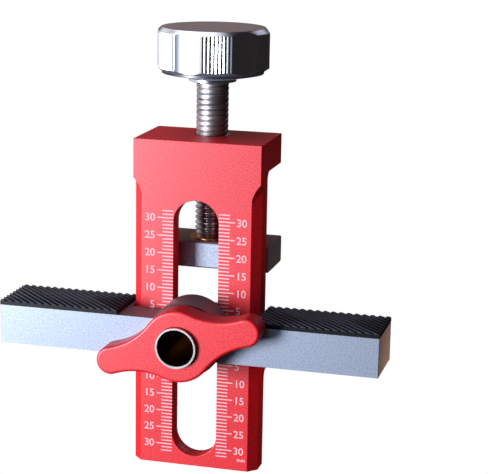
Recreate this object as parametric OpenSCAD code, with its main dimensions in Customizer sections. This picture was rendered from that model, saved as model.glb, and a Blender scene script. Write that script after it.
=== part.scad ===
// Cabinet door mounting jig: a slotted red body with a fixed jaw, a screw-driven
// clamp block behind it and a padded crossbar that slides on the front.
// Millimetres. Origin: centre of the fixed jaw's top face where it meets the
// plate's rear face. X runs along the crossbar, Y away from the front, Z up.

/* [Body] */
// Width of the body over its sides
body_w = 36.5; // [34:0.5:40]
// Thickness of the slotted plate
plate_t = 7.5; // [6:0.5:9]
// Height of the body from its foot to the top of the block
body_h = 93.5; // [90:0.5:100]
// How far the foot of the plate hangs below the fixed jaw's top face
foot_drop = 35.8; // [34:0.2:38]
// Depth of the top block and of the fixed jaw, from the plate's front face
jaw_depth = 22.7; // [20:0.1:26]
// Height of the top block behind the plate
top_block_h = 8.5; // [7:0.5:11]
// Height of the fixed jaw
fixed_jaw_h = 7.8; // [6:0.2:10]
// Radius in the inner corners under the top block and under the fixed jaw
corner_r = 2.2; // [1:0.1:3]
// Chamfer along the two long front edges
edge_chamfer = 2.5; // [1:0.1:3]
// Radius of the run-out where each long chamfer ends below the top block
runout_r = 8.4; // [5:0.2:12]
// Distance from the body's top down to the end of the run-out
runout_drop = 10.9; // [10:0.1:14]

/* [Slot] */
// Width of the slot in the plate
slot_w = 13; // [12:0.2:14]
// Lower end of the slot above the foot
slot_margin = 2.95; // [2.5:0.05:5]
// Length of the slot over its round ends
slot_len = 74.2; // [66:0.2:76]
// Depth of the wider track cut along the slot from behind
track_depth = 2.3; // [1.5:0.1:3]
// Width of that track
track_w = 17.4; // [16:0.2:20]
// Length that the track runs past the slot at each end
track_over = 1.2; // [0.8:0.1:2]

/* [Clamp] */
// Outside diameter of the clamp screw
screw_d = 9; // [8:0.5:10]
// Diameter of the plain end that turns in the bush
journal_d = 7; // [5:0.5:7.5]
// Gap between the fixed jaw and the clamp block as drawn
jaw_gap = 20.5; // [14:0.1:30]
// Height of the clamp block
block_h = 7.6; // [7:0.1:10]
// Width of the clamp block
block_w = 37.4; // [34:0.2:40]
// Distance that the clamp block reaches behind the top block
block_past = 0.5; // [0:0.1:1]
// Outside diameter of the bush's flange
bush_flange_d = 11.5; // [10.5:0.5:13]
// Height of the bush's flange above the clamp block
bush_proud = 0.4; // [0.2:0.1:0.8]
// Length of bare screw above the body as drawn
screw_bare = 14.9; // [12:0.1:18]

/* [Knob] */
// Outside diameter of the knob
knob_d = 31.8; // [28:0.1:36]
// Height of the knob's straight side
knob_side_h = 9.5; // [8:0.5:12]
// Number of smooth scallops, with as many grooved bands between them
lobes = 6; // [5:1:8]
// Width of one scallop at the rim, in degrees
scallop_deg = 30; // [22:1:34]
// Hollow of one scallop below its own chord
scallop_dip = 0.6; // [0.3:0.1:1]
// Number of grooves in one band
grooves = 8; // [6:1:9]
// Depth of one groove, which is V-shaped and twice as wide as deep
groove_depth = 0.45; // [0.2:0.05:0.5]
// Direction of the first scallop, in degrees from the X axis
scallop_phase = -100.4; // [-180:0.2:180]

/* [Crossbar] */
// Length of the crossbar
bar_len = 108; // [90:1:140]
// Height of the crossbar
bar_h = 11; // [9:0.5:13]
// Depth of the crossbar
bar_depth = 17.8; // [16:0.2:20]
// Height of the sleeve's axis above the fixed jaw as drawn
bar_z = 4.5; // [2:0.1:8]
// Radius of the round hub in the middle of the crossbar
hub_r = 10.5; // [9:0.1:12]
// Chamfer round both rims of the hub
hub_chamfer = 0.4; // [0.2:0.1:0.8]
// Thickness of a rubber pad
pad_t = 1.3; // [0.8:0.1:2]
// Distance from the plate's side to the inner end of a pad
pad_gap = 1.2; // [0.8:0.1:3]

/* [Sleeve and wing nut] */
// Bore of the drill sleeve
bore_d = 10; // [8:0.5:10]
// Wall of the drill sleeve
sleeve_wall = 0.65; // [0.5:0.05:0.7]
// Height of the sleeve's flat head in the track
head_h = 13; // [11.6:0.2:14]
// Length that the sleeve stands out of the wing nut
sleeve_out = 1.2; // [1:0.1:3]
// Thickness of the wing nut
nut_t = 7; // [5:0.1:9]
// Radius of the wing nut round the sleeve
nut_hub_r = 10; // [9:0.1:11]
// Distance from the sleeve's axis to the centre of a wing tip
wing_reach = 19.9; // [17:0.1:23]
// Radius of a wing tip
wing_tip_r = 3.9; // [3:0.1:5]
// Radius of the hollow flanks between hub and tips
flank_r = 20; // [16:0.5:26]
// Turn of the wings as drawn, in degrees
wing_turn = 16.5; // [0:0.5:45]

/* [Clearances] */
// Gap between faces that slide on each other
slide_gap = 0.1; // [0.05:0.05:0.2]
// Gap between faces that are tightened against each other
seat_gap = 0.05; // [0.02:0.01:0.1]
// Gap round a turning or sliding round part
run_gap = 0.05; // [0.02:0.01:0.1]
// Gap on each side between the crossbar's notch and the plate
notch_gap = 0.15; // [0.1:0.05:0.3]

/* [Hidden] */
$fn = 64;
over = 1;

body_top = body_h - foot_drop;
block_under = body_top - top_block_h;
jaw_rear = jaw_depth - plate_t;
slot_low = slot_margin - foot_drop;
slot_high = slot_low + slot_len;
track_corner = 1.5;
screw_y = jaw_rear / 2;
tap_mouth = 0.7;

block_front = slide_gap;
block_rear = jaw_rear + block_past;
block_top = jaw_gap + block_h;
block_edge = 0.5;
flange_t = 1.6;
bush_barrel_d = 9.5;
clip_pocket_d = 12;
clip_pocket_h = 2.6;
bush_top = block_top + bush_proud;
bush_low = jaw_gap + clip_pocket_h;
washer_t = 0.5;
washer_d = 10.8;
washer_top = bush_low - seat_gap;
clip_t = 0.7;
clip_d = 10.4;
clip_mouth = 4.6;
clip_top = washer_top - washer_t;
groove_d = 5.6;
screw_end = jaw_gap + 0.3;
shoulder_z = bush_top + seat_gap;
end_chamfer = 0.5;

knob_z = body_top + screw_bare;
collar_d = 13.2;
collar_h = 0.8;
dish_d = 28.7;
dish_rise = 1.5;
step_h = 0.7;
low_chamfer = 1;
top_chamfer = 1.5;
face_d = 29;
dish_z = knob_z + collar_h + dish_rise;
side_z = dish_z + step_h + low_chamfer;
knob_top = side_z + knob_side_h + top_chamfer;
socket_d = 8;
socket_h = 9;
pitch_deg = 360 / lobes;
band_deg = pitch_deg - scallop_deg;
groove_step = band_deg / grooves;
groove_side = groove_depth * sqrt(2);
half_chord = knob_d / 2 * sin(scallop_deg / 2);
chord_off = knob_d / 2 * cos(scallop_deg / 2);
scallop_r = (half_chord * half_chord + scallop_dip * scallop_dip) / (2 * scallop_dip);
scallop_off = chord_off - scallop_dip + scallop_r;

bar_rear = -slide_gap;
bar_front = bar_rear - bar_depth;
notch_y = -plate_t - seat_gap;
notch_w = body_w + 2 * notch_gap;
bar_top = bar_z + bar_h / 2;
pad_in = body_w / 2 + pad_gap;
pad_len = bar_len / 2 - pad_in;

sleeve_d = bore_d + 2 * sleeve_wall;
nut_rear = bar_front - seat_gap;
nut_front = nut_rear - nut_t;
sleeve_front = nut_front - sleeve_out;
head_front = -track_depth + seat_gap;
head_rear = bar_rear - seat_gap;
head_w = track_w - 2 * slide_gap;
head_corner = 1.2;
mouth_chamfer = 0.2;
flank_x = ((nut_hub_r + flank_r) * (nut_hub_r + flank_r) - (wing_tip_r + flank_r) * (wing_tip_r + flank_r)
           + wing_reach * wing_reach) / (2 * wing_reach);
flank_z = sqrt((nut_hub_r + flank_r) * (nut_hub_r + flank_r) - flank_x * flank_x);
hub_touch = nut_hub_r / (nut_hub_r + flank_r);
tip_touch = wing_tip_r / (wing_tip_r + flank_r);
web_in = 0.96;

red = [0.82, 0.10, 0.13];
grey = [0.52, 0.56, 0.62];
bright = [0.80, 0.81, 0.84];
steel = [0.60, 0.60, 0.60];
brass = [0.76, 0.60, 0.30];
rubber = [0.05, 0.05, 0.06];

// Rounded rectangle about the origin, corners by full circles
module round_rect(w, h, r) {
    square([w - 2 * r, h], center = true);
    square([w, h - 2 * r], center = true);
    for (x = [-1, 1], y = [-1, 1])
        translate([x * (w / 2 - r), y * (h / 2 - r)])
            circle(r);
}

// Stands a flat outline up in the XZ plane and gives it depth from y0 to y1
module upright(y0, y1) {
    translate([0, y1, 0])
        rotate([90, 0, 0])
            linear_extrude(y1 - y0)
                children();
}

// Side profile of the body in Y and Z
module body_profile() {
    translate([-plate_t, -foot_drop])
        square([plate_t, body_h]);
    translate([-over, block_under])
        square([jaw_rear + over, top_block_h]);
    translate([-over, -fixed_jaw_h])
        square([jaw_rear + over, fixed_jaw_h]);
    for (z = [block_under, -fixed_jaw_h])
        difference() {
            translate([-over, z - corner_r])
                square([corner_r + over, corner_r + over]);
            translate([corner_r, z - corner_r])
                circle(corner_r);
        }
}

// One long front chamfer with its curved run-out, on the right side
module front_chamfer() {
    run_z = body_top - runout_drop;
    rise = sqrt(runout_r * runout_r - (runout_r - edge_chamfer) * (runout_r - edge_chamfer));
    edge_x = body_w / 2 - edge_chamfer;
    intersection() {
        translate([body_w / 2, -plate_t, 0])
            rotate([0, 0, 45])
                cube([2 * edge_chamfer * sin(45), 2 * edge_chamfer * sin(45), 3 * body_h], center = true);
        upright(-plate_t - over, 0)
            difference() {
                translate([edge_x, -foot_drop - over])
                    square([edge_chamfer + over, run_z + foot_drop + over]);
                difference() {
                    translate([edge_x - over, run_z - rise])
                        square([edge_chamfer + 2 * over, rise + over]);
                    translate([edge_x + runout_r, run_z - rise])
                        circle(runout_r, $fn = 128);
                }
            }
    }
}

// Body: plate, top block and fixed jaw in one piece, slotted and tapped
module body() {
    color(red)
        difference() {
            rotate([90, 0, 90])
                linear_extrude(body_w, center = true)
                    body_profile();
            front_chamfer();
            mirror([1, 0, 0])
                front_chamfer();
            upright(-plate_t - over, jaw_rear + over)
                for (z = [slot_low + slot_w / 2, slot_high - slot_w / 2])
                    translate([0, z])
                        circle(slot_w / 2);
            translate([-slot_w / 2, -plate_t - over, slot_low + slot_w / 2])
                cube([slot_w, jaw_depth + 2 * over, slot_len - slot_w]);
            translate([0, 0, (slot_low + slot_high) / 2])
                upright(-track_depth, jaw_rear + over)
                    round_rect(track_w, slot_len + 2 * track_over, track_corner);
            translate([0, screw_y, 0]) {
                translate([0, 0, block_under - over])
                    cylinder(d = screw_d + 2 * run_gap, h = top_block_h + 2 * over);
                translate([0, 0, body_top - tap_mouth])
                    cylinder(d1 = screw_d + 2 * run_gap, d2 = screw_d + 2 * run_gap + 4 * tap_mouth,
                             h = 2 * tap_mouth);
                translate([0, 0, block_under - tap_mouth])
                    cylinder(d1 = screw_d + 2 * run_gap + 4 * tap_mouth, d2 = screw_d + 2 * run_gap,
                             h = 2 * tap_mouth);
            }
        }
}

// Clamp block: a bar with broken edges, bored for the bush, pocketed for the clip
module clamp_block() {
    color(grey)
        difference() {
            rotate([90, 0, 90])
                linear_extrude(block_w, center = true)
                    polygon([[block_front + block_edge, jaw_gap], [block_rear - block_edge, jaw_gap],
                             [block_rear, jaw_gap + block_edge], [block_rear, block_top - block_edge],
                             [block_rear - block_edge, block_top], [block_front + block_edge, block_top],
                             [block_front, block_top - block_edge], [block_front, jaw_gap + block_edge]]);
            translate([0, screw_y, jaw_gap - over])
                cylinder(d = bush_barrel_d, h = block_h + 2 * over);
            translate([0, screw_y, bush_top - flange_t])
                cylinder(d = bush_flange_d, h = flange_t + over);
            translate([0, screw_y, jaw_gap - over])
                cylinder(d = clip_pocket_d, h = clip_pocket_h + over);
        }
}

// Bush: flanged sleeve in the clamp block that takes the screw's thrust
module screw_bush() {
    inner = journal_d / 2 + run_gap;
    color(brass)
        translate([0, screw_y, 0])
            rotate_extrude()
                polygon([[inner, bush_low], [bush_barrel_d / 2, bush_low],
                         [bush_barrel_d / 2, bush_top - flange_t], [bush_flange_d / 2, bush_top - flange_t],
                         [bush_flange_d / 2, bush_top], [inner, bush_top]]);
}

// Clamp screw: threaded rod with a plain grooved end below and a socketed end above
module clamp_screw() {
    color(steel)
        translate([0, screw_y, 0])
            rotate_extrude()
                polygon([[0, screw_end], [journal_d / 2 - end_chamfer, screw_end],
                         [journal_d / 2, screw_end + end_chamfer], [journal_d / 2, clip_top - clip_t],
                         [groove_d / 2, clip_top - clip_t], [groove_d / 2, clip_top],
                         [journal_d / 2, clip_top], [journal_d / 2, shoulder_z],
                         [screw_d / 2 - end_chamfer, shoulder_z], [screw_d / 2, shoulder_z + end_chamfer],
                         [screw_d / 2, knob_z], [socket_d / 2, knob_z],
                         [socket_d / 2, knob_z + socket_h], [0, knob_z + socket_h]]);
}

// Washer between the bush and the clip
module screw_washer() {
    color(steel)
        translate([0, screw_y, clip_top])
            difference() {
                cylinder(d = washer_d, h = washer_t);
                translate([0, 0, -over])
                    cylinder(d = journal_d + 2 * run_gap, h = washer_t + 2 * over);
            }
}

// Clip: open ring snapped into the groove at the screw's end
module retaining_clip() {
    color(steel)
        translate([0, screw_y, clip_top - clip_t])
            difference() {
                cylinder(d = clip_d, h = clip_t);
                translate([0, 0, -over])
                    cylinder(d = groove_d, h = clip_t + 2 * over);
                translate([-clip_mouth / 2, 0, -over])
                    cube([clip_mouth, clip_d, clip_t + 2 * over]);
            }
}

// Knob: turned disc with smooth scallops between bands of upright grooves
module knob() {
    color(bright)
        translate([0, screw_y, 0])
            difference() {
                rotate_extrude($fn = 96)
                    polygon([[0, knob_z], [collar_d / 2, knob_z], [collar_d / 2, knob_z + collar_h],
                             [dish_d / 2, dish_z], [dish_d / 2, dish_z + step_h],
                             [knob_d / 2, side_z], [knob_d / 2, side_z + knob_side_h],
                             [face_d / 2, knob_top], [0, knob_top]]);
                translate([0, 0, knob_z - over])
                    cylinder(d = socket_d, h = socket_h + over);
                for (i = [0 : lobes - 1])
                    rotate([0, 0, scallop_phase + i * pitch_deg]) {
                        translate([scallop_off, 0, knob_z])
                            cylinder(r = scallop_r, h = knob_top - knob_z + over, $fn = 128);
                        for (k = [0 : grooves - 1])
                            rotate([0, 0, scallop_deg / 2 + (k + 0.5) * groove_step])
                                translate([knob_d / 2, 0, knob_z])
                                    rotate([0, 0, 45])
                                        translate([-groove_side / 2, -groove_side / 2, 0])
                                            cube([groove_side, groove_side, knob_top - knob_z + over]);
                    }
            }
}

// Crossbar: square bar notched over the plate, with a round hub bored for the sleeve
module crossbar() {
    color(grey)
        difference() {
            union() {
                translate([-bar_len / 2, bar_front, bar_z - bar_h / 2])
                    cube([bar_len, bar_depth, bar_h]);
                translate([0, 0, bar_z])
                    rotate([90, 0, 0])
                        rotate_extrude()
                            polygon([[0, -notch_y], [hub_r - hub_chamfer, -notch_y],
                                     [hub_r, hub_chamfer - notch_y], [hub_r, -bar_front - hub_chamfer],
                                     [hub_r - hub_chamfer, -bar_front], [0, -bar_front]]);
            }
            translate([-notch_w / 2, notch_y, bar_z - bar_h])
                cube([notch_w, -notch_y + over, 2 * bar_h]);
            translate([0, over, bar_z])
                rotate([90, 0, 0])
                    cylinder(d = sleeve_d + 2 * run_gap, h = bar_depth + 2 * over + slide_gap);
        }
}

// Rubber pad on the crossbar, side -1 for left and 1 for right
module pad(side) {
    color(rubber)
        translate([side * (pad_in + pad_len / 2), (bar_front + bar_rear) / 2, bar_top + pad_t / 2])
            cube([pad_len, bar_depth, pad_t], center = true);
}

// Left rubber pad
module pad_left() {
    pad(-1);
}

// Right rubber pad
module pad_right() {
    pad(1);
}

// Drill sleeve: thin tube with a flat head that slides in the track
module drill_sleeve() {
    color(steel)
        translate([0, 0, bar_z])
            difference() {
                union() {
                    rotate([90, 0, 0])
                        translate([0, 0, -head_rear])
                            cylinder(d = sleeve_d, h = head_rear - sleeve_front);
                    upright(head_front, head_rear)
                        round_rect(head_w, head_h, head_corner);
                }
                rotate([90, 0, 0])
                    translate([0, 0, -over])
                        cylinder(d = bore_d, h = 2 * over - sleeve_front);
                translate([0, sleeve_front + mouth_chamfer, 0])
                    rotate([90, 0, 0])
                        cylinder(d1 = bore_d, d2 = bore_d + 4 * mouth_chamfer, h = 2 * mouth_chamfer);
            }
}

// Web between hub and tips, its four hollow flanks running into both
module nut_web() {
    hub_in = web_in * hub_touch;
    web_x = wing_reach + (flank_x - wing_reach) * web_in * tip_touch;
    web_z = flank_z * web_in * tip_touch;
    difference() {
        polygon([[flank_x * hub_in, flank_z * hub_in], [web_x, web_z], [web_x, -web_z],
                 [flank_x * hub_in, -flank_z * hub_in], [-flank_x * hub_in, -flank_z * hub_in],
                 [-web_x, -web_z], [-web_x, web_z], [-flank_x * hub_in, flank_z * hub_in]]);
        for (s = [-1, 1], t = [-1, 1])
            translate([s * flank_x, t * flank_z])
                circle(flank_r, $fn = 128);
    }
}

// Wing nut: flat two-winged nut round the sleeve
module wing_nut() {
    color(red)
        translate([0, nut_rear, bar_z])
            rotate([90, 0, 0])
                difference() {
                    rotate([0, 0, wing_turn])
                        union() {
                            cylinder(r = nut_hub_r, h = nut_t);
                            linear_extrude(nut_t)
                                nut_web();
                            for (s = [-1, 1])
                                translate([s * wing_reach, 0, 0])
                                    cylinder(r = wing_tip_r, h = nut_t);
                        }
                    translate([0, 0, -over])
                        cylinder(d = sleeve_d + 2 * run_gap, h = nut_t + 2 * over);
                }
}

body();
clamp_block();
screw_bush();
clamp_screw();
screw_washer();
retaining_clip();
knob();
crossbar();
pad_left();
pad_right();
drill_sleeve();
wing_nut();
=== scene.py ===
import math

import bpy
from mathutils import Matrix, Vector


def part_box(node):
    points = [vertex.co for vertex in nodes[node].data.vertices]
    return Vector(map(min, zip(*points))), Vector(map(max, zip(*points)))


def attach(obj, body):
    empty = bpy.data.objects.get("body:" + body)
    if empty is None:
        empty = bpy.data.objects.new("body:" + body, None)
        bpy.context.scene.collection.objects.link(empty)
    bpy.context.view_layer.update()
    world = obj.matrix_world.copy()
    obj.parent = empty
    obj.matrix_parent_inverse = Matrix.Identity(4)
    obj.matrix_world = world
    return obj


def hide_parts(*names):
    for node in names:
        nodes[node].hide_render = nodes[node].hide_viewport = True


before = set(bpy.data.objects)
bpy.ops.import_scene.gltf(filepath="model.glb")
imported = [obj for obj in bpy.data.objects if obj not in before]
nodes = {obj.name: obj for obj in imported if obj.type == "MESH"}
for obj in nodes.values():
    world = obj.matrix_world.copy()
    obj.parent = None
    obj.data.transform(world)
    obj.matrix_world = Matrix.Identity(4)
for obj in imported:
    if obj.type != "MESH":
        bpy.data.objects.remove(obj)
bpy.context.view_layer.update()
scene = bpy.context.scene
scene.view_settings.view_transform = "Standard"

# Camera: a long lens from the right and above the front, rolled by one degree.
# It stands where the printed scales and 33 corners of the photo put it.
camera_data = bpy.data.cameras.new("Camera")
camera_data.lens = 118.54
camera_data.sensor_width = 36.0
camera_data.sensor_fit = "HORIZONTAL"
camera_data.clip_start = 0.01
camera = bpy.data.objects.new("Camera", camera_data)
scene.collection.objects.link(camera)
camera_right = Vector((0.965838, 0.258589, 0.017016))
camera_up = Vector((-0.075114, 0.216501, 0.973389))
camera_back = Vector((0.248023, -0.941413, 0.228528))
camera.matrix_world = Matrix((
    (camera_right.x, camera_up.x, camera_back.x, 0.1226311),
    (camera_right.y, camera_up.y, camera_back.y, -0.4208987),
    (camera_right.z, camera_up.z, camera_back.z, 0.1326221),
    (0, 0, 0, 1),
))
scene.camera = camera

# Room: plain white to the camera. Everything else sees a dark room with a low white
# wall on the left, a blue window light beside the camera and three dull cards.
world = bpy.data.worlds.new("Room")
scene.world = world
world.use_nodes = True
wn = world.node_tree.nodes
wl = world.node_tree.links
wn.clear()
room_out = wn.new("ShaderNodeOutputWorld")
room_mix = wn.new("ShaderNodeMixShader")
room_path = wn.new("ShaderNodeLightPath")
room_white = wn.new("ShaderNodeBackground")
room_white.inputs["Color"].default_value = (1, 1, 1, 1)
room_soft = wn.new("ShaderNodeBackground")
room_soft.inputs["Color"].default_value = (0.020, 0.017, 0.018, 1)
room_dir = wn.new("ShaderNodeTexCoord")
room_up = wn.new("ShaderNodeSeparateXYZ")
wl.new(room_dir.outputs["Generated"], room_up.inputs[0])
room_sum = room_soft.outputs[0]
for toward, start, full, mid_z, thick, tint in (
        ((-0.999, -0.035, 0.0), 0.67, 0.77, 0.02, 0.24, (0.92, 0.94, 0.98, 1)),
        ((-0.42, -0.89, 0.15), 0.900, 0.985, 0.0, 3.0, (0.40, 0.50, 0.78, 1)),
        ((-0.40, 0.80, 0.45), 0.70, 0.98, 0.0, 3.0, (0.11, 0.072, 0.068, 1)),
        ((0.33, 0.82, 0.47), 0.95, 0.99, 0.0, 3.0, (0.46, 0.48, 0.60, 1)),
        ((-0.80, 0.50, 0.33), 0.92, 0.97, 0.0, 3.0, (0.72, 0.75, 0.84, 1)),
        ((-0.40, -0.14, 0.905), 0.74, 0.94, 0.0, 3.0, (1.35, 1.38, 1.50, 1))):
    wall_dot = wn.new("ShaderNodeVectorMath")
    wall_dot.operation = "DOT_PRODUCT"
    wall_dot.inputs[1].default_value = toward
    wall_edge = wn.new("ShaderNodeMapRange")
    wall_edge.interpolation_type = "SMOOTHSTEP"
    wall_edge.inputs["From Min"].default_value = start
    wall_edge.inputs["From Max"].default_value = full
    wall_off = wn.new("ShaderNodeMath")
    wall_off.operation = "SUBTRACT"
    wall_off.inputs[1].default_value = mid_z
    wall_far = wn.new("ShaderNodeMath")
    wall_far.operation = "ABSOLUTE"
    wall_band = wn.new("ShaderNodeMapRange")
    wall_band.interpolation_type = "SMOOTHSTEP"
    wall_band.inputs["From Min"].default_value = thick
    wall_band.inputs["From Max"].default_value = thick * 0.5
    wall_both = wn.new("ShaderNodeMath")
    wall_both.operation = "MULTIPLY"
    wall = wn.new("ShaderNodeBackground")
    wall.inputs["Color"].default_value = tint
    wall_add = wn.new("ShaderNodeAddShader")
    wl.new(room_dir.outputs["Generated"], wall_dot.inputs[0])
    wl.new(wall_dot.outputs["Value"], wall_edge.inputs["Value"])
    wl.new(room_up.outputs["Z"], wall_off.inputs[0])
    wl.new(wall_off.outputs[0], wall_far.inputs[0])
    wl.new(wall_far.outputs[0], wall_band.inputs["Value"])
    wl.new(wall_edge.outputs["Result"], wall_both.inputs[0])
    wl.new(wall_band.outputs["Result"], wall_both.inputs[1])
    wl.new(wall_both.outputs[0], wall.inputs["Strength"])
    wl.new(room_sum, wall_add.inputs[0])
    wl.new(wall.outputs[0], wall_add.inputs[1])
    room_sum = wall_add.outputs[0]
wl.new(room_path.outputs["Is Camera Ray"], room_mix.inputs["Fac"])
wl.new(room_sum, room_mix.inputs[1])
wl.new(room_white.outputs[0], room_mix.inputs[2])
wl.new(room_mix.outputs[0], room_out.inputs["Surface"])

# Key light: an upright soft box, 38 degrees to the left of the front and a little
# below the middle of the jig, which is where the shadows put it.
key_data = bpy.data.lights.new("Key", "AREA")
key_data.shape = "RECTANGLE"
key_data.size = 0.17
key_data.size_y = 0.22
key_data.energy = 3.7
key_data.color = (0.97, 0.985, 1.0)
key = bpy.data.objects.new("Key", key_data)
scene.collection.objects.link(key)
key.location = (-0.320, -0.420, 0.018)
key.rotation_euler = (Vector((0, 0, 0.01)) - key.location).to_track_quat("-Z", "Y").to_euler()

# Warm card: wood that stands near the crossbar's right end, out of the picture.
card_data = bpy.data.lights.new("Warm card", "AREA")
card_data.shape = "DISK"
card_data.size = 0.02
card_data.energy = 0.0095
card_data.color = (1.0, 0.50, 0.26)
card = bpy.data.objects.new("Warm card", card_data)
scene.collection.objects.link(card)
card.visible_glossy = False
card.visible_camera = False
card.location = (0.076, 0.0, -0.004)
card.rotation_euler = (Vector((0.054, -0.009, 0.0045)) - card.location).to_track_quat("-Z", "Y").to_euler()

# Fine blasted grain of anodised aluminium, used by all its matt pieces. It puts
# out a bumped normal, a slight change of shade and a mask of faces that look up.
grain = bpy.data.node_groups.new("Blasted grain", "ShaderNodeTree")
grain.interface.new_socket("Grain per metre", in_out="INPUT", socket_type="NodeSocketFloat").default_value = 2400
grain.interface.new_socket("Depth", in_out="INPUT", socket_type="NodeSocketFloat").default_value = 0.20
grain.interface.new_socket("Normal", in_out="OUTPUT", socket_type="NodeSocketVector")
grain.interface.new_socket("Shade", in_out="OUTPUT", socket_type="NodeSocketFloat")
grain.interface.new_socket("Looks up", in_out="OUTPUT", socket_type="NodeSocketFloat")
gn = grain.nodes
gl = grain.links
grain_in = gn.new("NodeGroupInput")
grain_out = gn.new("NodeGroupOutput")
grain_at = gn.new("ShaderNodeTexCoord")
grain_noise = gn.new("ShaderNodeTexNoise")
grain_noise.inputs["Detail"].default_value = 2.0
grain_noise.inputs["Roughness"].default_value = 0.6
grain_bump = gn.new("ShaderNodeBump")
grain_bump.inputs["Distance"].default_value = 0.00004
grain_shade = gn.new("ShaderNodeMapRange")
grain_shade.inputs["From Min"].default_value = 0.3
grain_shade.inputs["From Max"].default_value = 0.7
grain_shade.inputs["To Min"].default_value = 0.76
grain_shade.inputs["To Max"].default_value = 1.24
grain_face = gn.new("ShaderNodeSeparateXYZ")
grain_up = gn.new("ShaderNodeMapRange")
grain_up.interpolation_type = "SMOOTHSTEP"
grain_up.inputs["From Min"].default_value = 0.25
grain_up.inputs["From Max"].default_value = 0.95
gl.new(grain_at.outputs["Normal"], grain_face.inputs[0])
gl.new(grain_face.outputs["Z"], grain_up.inputs["Value"])
gl.new(grain_up.outputs["Result"], grain_out.inputs["Looks up"])
gl.new(grain_at.outputs["Object"], grain_noise.inputs["Vector"])
gl.new(grain_in.outputs["Grain per metre"], grain_noise.inputs["Scale"])
gl.new(grain_in.outputs["Depth"], grain_bump.inputs["Strength"])
gl.new(grain_noise.outputs["Fac"], grain_bump.inputs["Height"])
gl.new(grain_noise.outputs["Fac"], grain_shade.inputs["Value"])
gl.new(grain_bump.outputs["Normal"], grain_out.inputs["Normal"])
gl.new(grain_shade.outputs["Result"], grain_out.inputs["Shade"])

# Body: one machined piece of aluminium, bead-blasted and anodised red. Its sharp
# edges are broken by hand, so a narrow bright line runs along each of them.
red = bpy.data.materials.new("Red anodised aluminium")
red.use_nodes = True
rn = red.node_tree.nodes
rl = red.node_tree.links
red_bsdf = rn["Principled BSDF"]
red_bsdf.inputs["Metallic"].default_value = 0.0
red_bsdf.inputs["Roughness"].default_value = 0.42
red_bsdf.inputs["Specular Tint"].default_value = (0.86, 0.9, 1.0, 1)
red_grain = rn.new("ShaderNodeGroup")
red_grain.node_tree = grain
red_tint = rn.new("ShaderNodeMix")
red_tint.data_type = "RGBA"
red_tint.blend_type = "MULTIPLY"
red_tint.inputs["Factor"].default_value = 1.0
red_tint.inputs["A"].default_value = (0.80, 0.010, 0.018, 1)
rl.new(red_tint.outputs["Result"], red_bsdf.inputs["Base Color"])
rl.new(red_grain.outputs["Normal"], red_bsdf.inputs["Normal"])
# Painted shade: faces that look up in front of y = -17.8 mm, which are the wing nut's, get a base colour darkened to
# 0.55 and a specular level cut from 0.92 to 0.15.
red_at = rn.new("ShaderNodeTexCoord")
red_split = rn.new("ShaderNodeSeparateXYZ")
red_near = rn.new("ShaderNodeMapRange")
red_near.inputs["From Min"].default_value = -0.0170
red_near.inputs["From Max"].default_value = -0.0178
red_shade_mask = rn.new("ShaderNodeMath")
red_shade_mask.operation = "MULTIPLY"
red_gloss = rn.new("ShaderNodeMapRange")
red_gloss.inputs["To Min"].default_value = 0.92
red_gloss.inputs["To Max"].default_value = 0.15
rl.new(red_at.outputs["Object"], red_split.inputs[0])
rl.new(red_split.outputs["Y"], red_near.inputs["Value"])
rl.new(red_near.outputs["Result"], red_shade_mask.inputs[0])
rl.new(red_grain.outputs["Looks up"], red_shade_mask.inputs[1])
rl.new(red_shade_mask.outputs[0], red_gloss.inputs["Value"])
red_shade_darkening = rn.new("ShaderNodeMapRange")
red_shade_darkening.inputs["To Min"].default_value = 1.0
red_shade_darkening.inputs["To Max"].default_value = 0.55
red_fine = rn.new("ShaderNodeMath")
red_fine.operation = "MULTIPLY"
rl.new(red_shade_mask.outputs[0], red_shade_darkening.inputs["Value"])
rl.new(red_shade_darkening.outputs["Result"], red_fine.inputs[0])
rl.new(red_grain.outputs["Shade"], red_fine.inputs[1])
rl.new(red_fine.outputs[0], red_tint.inputs["B"])
red_spark = rn.new("ShaderNodeMath")
red_spark.operation = "MULTIPLY"
rl.new(red_gloss.outputs["Result"], red_spark.inputs[0])
rl.new(red_grain.outputs["Shade"], red_spark.inputs[1])
rl.new(red_spark.outputs[0], red_bsdf.inputs["Specular IOR Level"])
body = nodes["body"]
body.data.materials.clear()
body.data.materials.append(red)
body_weld = body.modifiers.new("Join corners", "WELD")
body_weld.merge_threshold = 0.000002
body_edge = body.modifiers.new("Broken edges", "BEVEL")
body_edge.width = 0.00014
body_edge.segments = 2
body_edge.limit_method = "ANGLE"
body_edge.angle_limit = math.radians(32)
body_edge.harden_normals = True
body_edge.use_clamp_overlap = False

# Scale marks: white laser-marked lines on the plate's front, one per millimetre,
# in four runs. Every fifth line is longer. The marks lie 0.01 mm on the face.
mark_white = bpy.data.materials.new("White laser marking")
mark_white.use_nodes = True
mark_bsdf = mark_white.node_tree.nodes["Principled BSDF"]
mark_bsdf.inputs["Base Color"].default_value = (0.90, 0.52, 0.57, 1)
mark_bsdf.inputs["Roughness"].default_value = 0.6
ticks = bpy.data.node_groups.new("Scale run", "GeometryNodeTree")
ticks.is_modifier = True
for label, kind, value in (("Count", "NodeSocketInt", 33), ("Pitch", "NodeSocketFloat", 0.001),
                           ("Short", "NodeSocketFloat", 0.00315), ("Long", "NodeSocketFloat", 0.0046),
                           ("Line width", "NodeSocketFloat", 0.00034), ("Height", "NodeSocketFloat", 0.00001),
                           ("Side", "NodeSocketFloat", 1.0), ("Marking", "NodeSocketMaterial", None)):
    socket = ticks.interface.new_socket(label, in_out="INPUT", socket_type=kind)
    if value is not None:
        socket.default_value = value
ticks.interface.new_socket("Geometry", in_out="OUTPUT", socket_type="NodeSocketGeometry")
tn = ticks.nodes
tl = ticks.links
t_in = tn.new("NodeGroupInput")
t_out = tn.new("NodeGroupOutput")
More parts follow.
